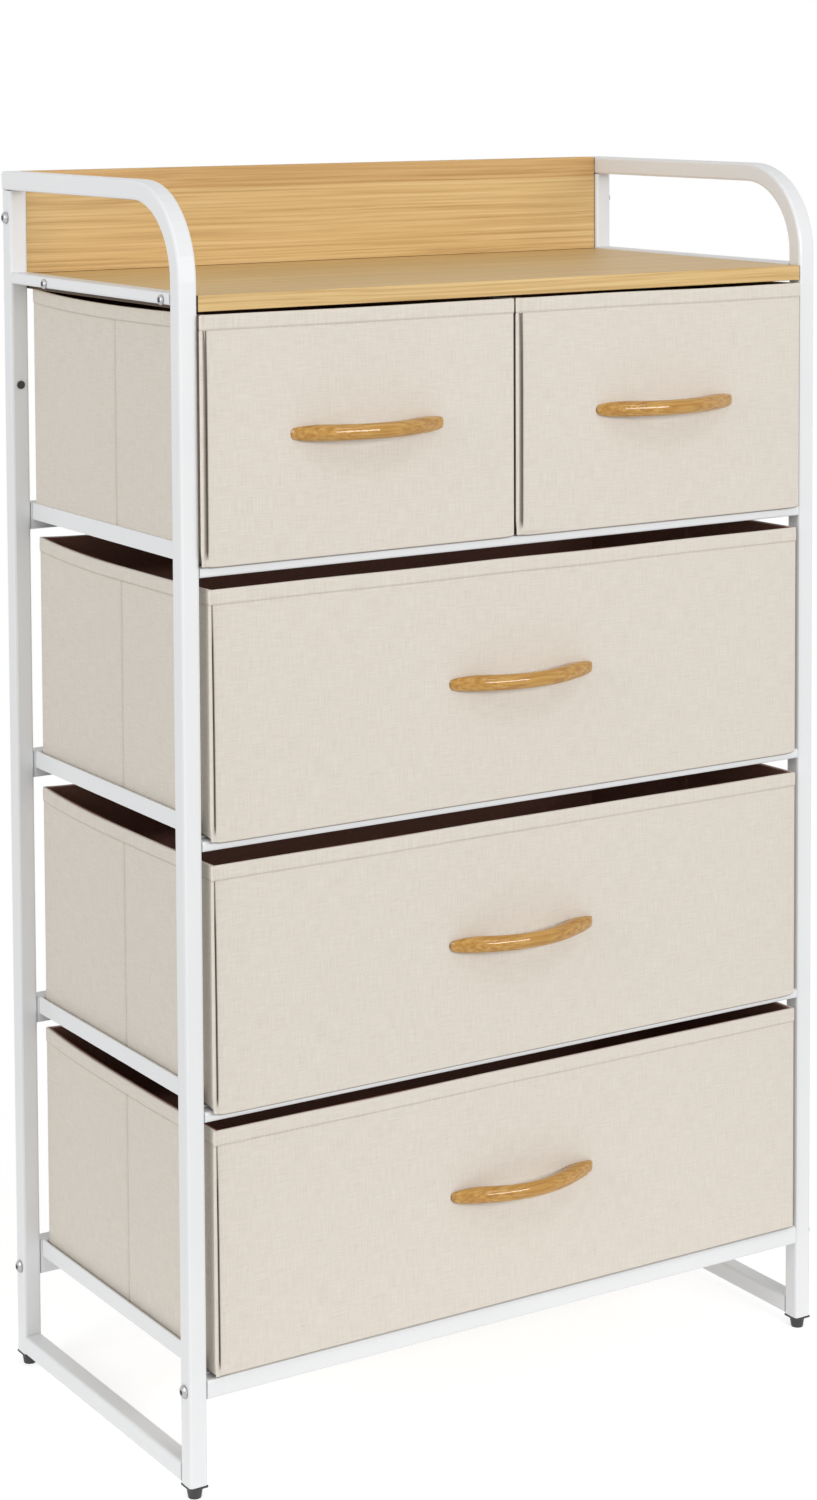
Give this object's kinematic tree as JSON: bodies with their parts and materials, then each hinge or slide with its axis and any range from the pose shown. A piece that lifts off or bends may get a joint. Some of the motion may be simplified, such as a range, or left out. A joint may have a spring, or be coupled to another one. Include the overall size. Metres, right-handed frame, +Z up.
{
  "type": "fabric drawer dresser",
  "caption": "Tall storage dresser with a white steel tube frame, wooden top board with a back panel, and linen fabric bins on rails that pull out by wooden bow handles.",
  "frame": {"origin": "middle of the bounding box, on the floor", "axes": "+X to the right seen from the front, +Y to the rear, +Z up; the drawers pull out along -Y"},
  "size_m": [0.5962, 0.3293, 0.978],
  "materials": {
    "white_steel": "smooth satin powder coat",
    "oak_board": "matte wood grain laminate",
    "varnished_wood": "glossy clear varnish",
    "linen_fabric": "fine slubbed linen weave",
    "dark_lining": "matte non-woven lining over board",
    "black_plastic": "moulded",
    "plated_screw": "bright zinc plate"
  },
  "bodies": {
    "frame": {"left_bent_post": "white_steel", "left_rear_post": "white_steel", "left_floor_tube": "white_steel", "left_board_rail": "white_steel", "left_angle_1": "white_steel", "left_angle_2": "white_steel", "left_angle_3": "white_steel", "left_angle_4": "white_steel", "right_bent_post": "white_steel", "right_rear_post": "white_steel", "right_floor_tube": "white_steel", "right_board_rail": "white_steel", "right_angle_1": "white_steel", "right_angle_2": "white_steel", "right_angle_3": "white_steel", "right_angle_4": "white_steel", "front_cross_rail_1": "white_steel", "front_cross_rail_2": "white_steel", "front_cross_rail_3": "white_steel", "front_cross_rail_4": "white_steel", "rear_cross_rail_1": "white_steel", "rear_cross_rail_2": "white_steel", "rear_cross_rail_3": "white_steel", "rear_cross_rail_4": "white_steel", "top_board": "oak_board", "back_panel": "oak_board", "foot_front_left": "black_plastic", "foot_front_right": "black_plastic", "foot_rear_left": "black_plastic", "foot_rear_right": "black_plastic", "rail_bolt_front_left": "plated_screw", "rail_bolt_rear_left": "plated_screw", "rail_bolt_front_right": "plated_screw", "rail_bolt_rear_right": "plated_screw", "panel_bolt_left": "plated_screw", "panel_bolt_right": "plated_screw", "board_screw_left_1": "plated_screw", "board_screw_left_2": "plated_screw", "board_screw_right_1": "plated_screw", "board_screw_right_2": "plated_screw", "hole_plug_left": "black_plastic", "hole_plug_right": "black_plastic"},
    "drawer_top_left": {"top_left_bin": "linen_fabric", "top_left_base_board": "dark_lining", "top_left_handle": "varnished_wood"},
    "drawer_top_right": {"top_right_bin": "linen_fabric", "top_right_base_board": "dark_lining", "top_right_handle": "varnished_wood"},
    "drawer_upper": {"upper_bin": "linen_fabric", "upper_base_board": "dark_lining", "upper_handle": "varnished_wood"},
    "drawer_middle": {"middle_bin": "linen_fabric", "middle_base_board": "dark_lining", "middle_handle": "varnished_wood"},
    "drawer_lower": {"lower_bin": "linen_fabric", "lower_base_board": "dark_lining", "lower_handle": "varnished_wood"}
  },
  "joints": [
    {"name": "top_left_slide", "type": "slide", "parent": "frame", "child": "drawer_top_left", "axis": [0, -1, 0], "range_m": [0, 0.2]},
    {"name": "top_right_slide", "type": "slide", "parent": "frame", "child": "drawer_top_right", "axis": [0, -1, 0], "range_m": [0, 0.2]},
    {"name": "upper_slide", "type": "slide", "parent": "frame", "child": "drawer_upper", "axis": [0, -1, 0], "range_m": [0, 0.2]},
    {"name": "middle_slide", "type": "slide", "parent": "frame", "child": "drawer_middle", "axis": [0, -1, 0], "range_m": [0, 0.2]},
    {"name": "lower_slide", "type": "slide", "parent": "frame", "child": "drawer_lower", "axis": [0, -1, 0], "range_m": [0, 0.2]}
  ]
}
